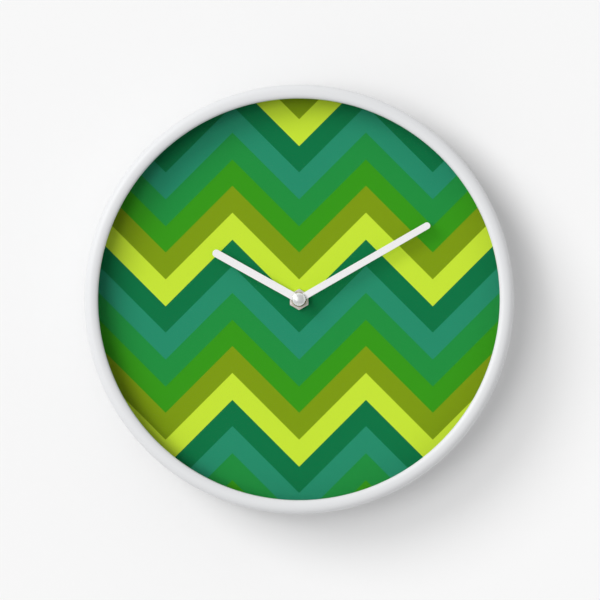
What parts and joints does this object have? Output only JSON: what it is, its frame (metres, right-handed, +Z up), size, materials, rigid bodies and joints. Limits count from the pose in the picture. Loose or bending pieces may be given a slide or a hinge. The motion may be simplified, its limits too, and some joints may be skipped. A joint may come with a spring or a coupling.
{
  "type": "wall clock",
  "caption": "Round wall clock with a white frame ring, clear glazing, printed dial in greens, two white hands and a battery quartz movement behind the board.",
  "frame": {"origin": "centre of the frame's flat rear rim, in the wall plane on the hands' axis", "axes": "+X to the viewer's right, +Y into the wall (the dial faces -Y), +Z up towards twelve o'clock"},
  "size_m": [0.254, 0.04, 0.254],
  "materials": {
    "frame_white": "satin white lacquer",
    "clear_acrylic": "gloss clear acrylic",
    "dark_plastic": "satin dark grey",
    "printed_sheet": "satin print in greens",
    "hardboard": "matte hardboard",
    "zinc_steel": "satin zinc plate",
    "black_rubber": "matte",
    "brass": "satin",
    "nickel": "polished nickel plate",
    "white_paint": "satin white paint",
    "white_cap": "gloss",
    "black_abs": "matte",
    "grey_plate": "satin",
    "ivory_acetal": "satin",
    "magnet": "satin",
    "soft_iron": "satin",
    "bobbin_white": "satin",
    "copper_wire": "gloss enamelled copper",
    "circuit_green": "satin",
    "quartz_steel": "polished",
    "chip_black": "gloss",
    "cell_can": "polished nickel-plated can",
    "cell_sleeve": "gloss film"
  },
  "bodies": {
    "clock_case": {"frame_ring": "frame_white", "lens": "clear_acrylic", "spacer_ring": "dark_plastic", "dial_print": "printed_sheet", "dial_board": "hardboard", "framer_points": "zinc_steel", "hanger_bracket": "zinc_steel", "rubber_gasket": "black_rubber", "brass_washer": "brass", "hex_nut": "nickel", "threaded_bush": "brass", "front_shell": "black_abs", "rear_cover": "black_abs", "mid_plate": "grey_plate", "rear_bridge": "grey_plate", "bridge_screws": "zinc_steel", "stator": "soft_iron", "coil_core": "soft_iron", "core_screws": "zinc_steel", "coil_bobbin": "bobbin_white", "coil_winding": "copper_wire", "circuit_board": "circuit_green", "quartz_can": "quartz_steel", "chip_cap": "chip_black", "positive_contact": "zinc_steel", "negative_contact": "zinc_steel"},
    "minute_group": {"minute_hand": "white_paint", "cap_nut": "white_cap", "minute_cannon": "brass", "clutch_spring": "zinc_steel"},
    "hour_group": {"hour_hand": "white_paint", "hour_wheel": "ivory_acetal"},
    "minute_wheel_body": {"minute_wheel": "ivory_acetal"},
    "setter": {"setting_arbor": "ivory_acetal", "setting_knob": "black_abs"},
    "centre_wheel_body": {"centre_wheel": "ivory_acetal"},
    "third_wheel_body": {"third_wheel": "ivory_acetal"},
    "seconds_wheel_body": {"seconds_wheel": "ivory_acetal"},
    "intermediate_body": {"intermediate_wheel": "ivory_acetal"},
    "rotor": {"rotor_pinion": "ivory_acetal", "rotor_magnet": "magnet"},
    "cell": {"battery_cell": "cell_can", "battery_sleeve": "cell_sleeve"}
  },
  "joints": [
    {"name": "minute_spin", "type": "hinge", "parent": "clock_case", "child": "minute_group", "pos_m": [0, 0, 0], "axis": [0, 1, 0], "continuous": true},
    {"name": "hour_spin", "type": "hinge", "parent": "clock_case", "child": "hour_group", "pos_m": [0, 0, 0], "axis": [0, 1, 0], "continuous": true},
    {"name": "minute_wheel_spin", "type": "hinge", "parent": "clock_case", "child": "minute_wheel_body", "pos_m": [-0.00432, 0, 0.00748], "axis": [0, 1, 0], "continuous": true},
    {"name": "setting_spin", "type": "hinge", "parent": "clock_case", "child": "setter", "pos_m": [-0.01126, 0, 0.01576], "axis": [0, 1, 0], "continuous": true},
    {"name": "centre_spin", "type": "hinge", "parent": "clock_case", "child": "centre_wheel_body", "pos_m": [0, 0, 0], "axis": [0, 1, 0], "continuous": true},
    {"name": "third_spin", "type": "hinge", "parent": "clock_case", "child": "third_wheel_body", "pos_m": [-0.0102, 0, 0], "axis": [0, 1, 0], "continuous": true},
    {"name": "seconds_spin", "type": "hinge", "parent": "clock_case", "child": "seconds_wheel_body", "pos_m": [0, 0, 0], "axis": [0, 1, 0], "continuous": true},
    {"name": "intermediate_spin", "type": "hinge", "parent": "clock_case", "child": "intermediate_body", "pos_m": [0.00947, 0, -0.00345], "axis": [0, 1, 0], "continuous": true},
    {"name": "rotor_spin", "type": "hinge", "parent": "clock_case", "child": "rotor", "pos_m": [0.01322, 0, 0.00305], "axis": [0, 1, 0], "continuous": true},
    {"name": "cell_lift", "type": "slide", "parent": "clock_case", "child": "cell", "axis": [0, 1, 0], "range_m": [0, 0.022]}
  ],
  "couplings": [
    {"joint": "hour_spin", "follows": "minute_spin", "ratio": 0.083333},
    {"joint": "minute_wheel_spin", "follows": "minute_spin", "ratio": -0.33333},
    {"joint": "setting_spin", "follows": "minute_spin", "ratio": 0.5},
    {"joint": "third_spin", "follows": "centre_spin", "ratio": -8},
    {"joint": "seconds_spin", "follows": "centre_spin", "ratio": 60},
    {"joint": "intermediate_spin", "follows": "centre_spin", "ratio": -360},
    {"joint": "rotor_spin", "follows": "centre_spin", "ratio": 1800}
  ]
}
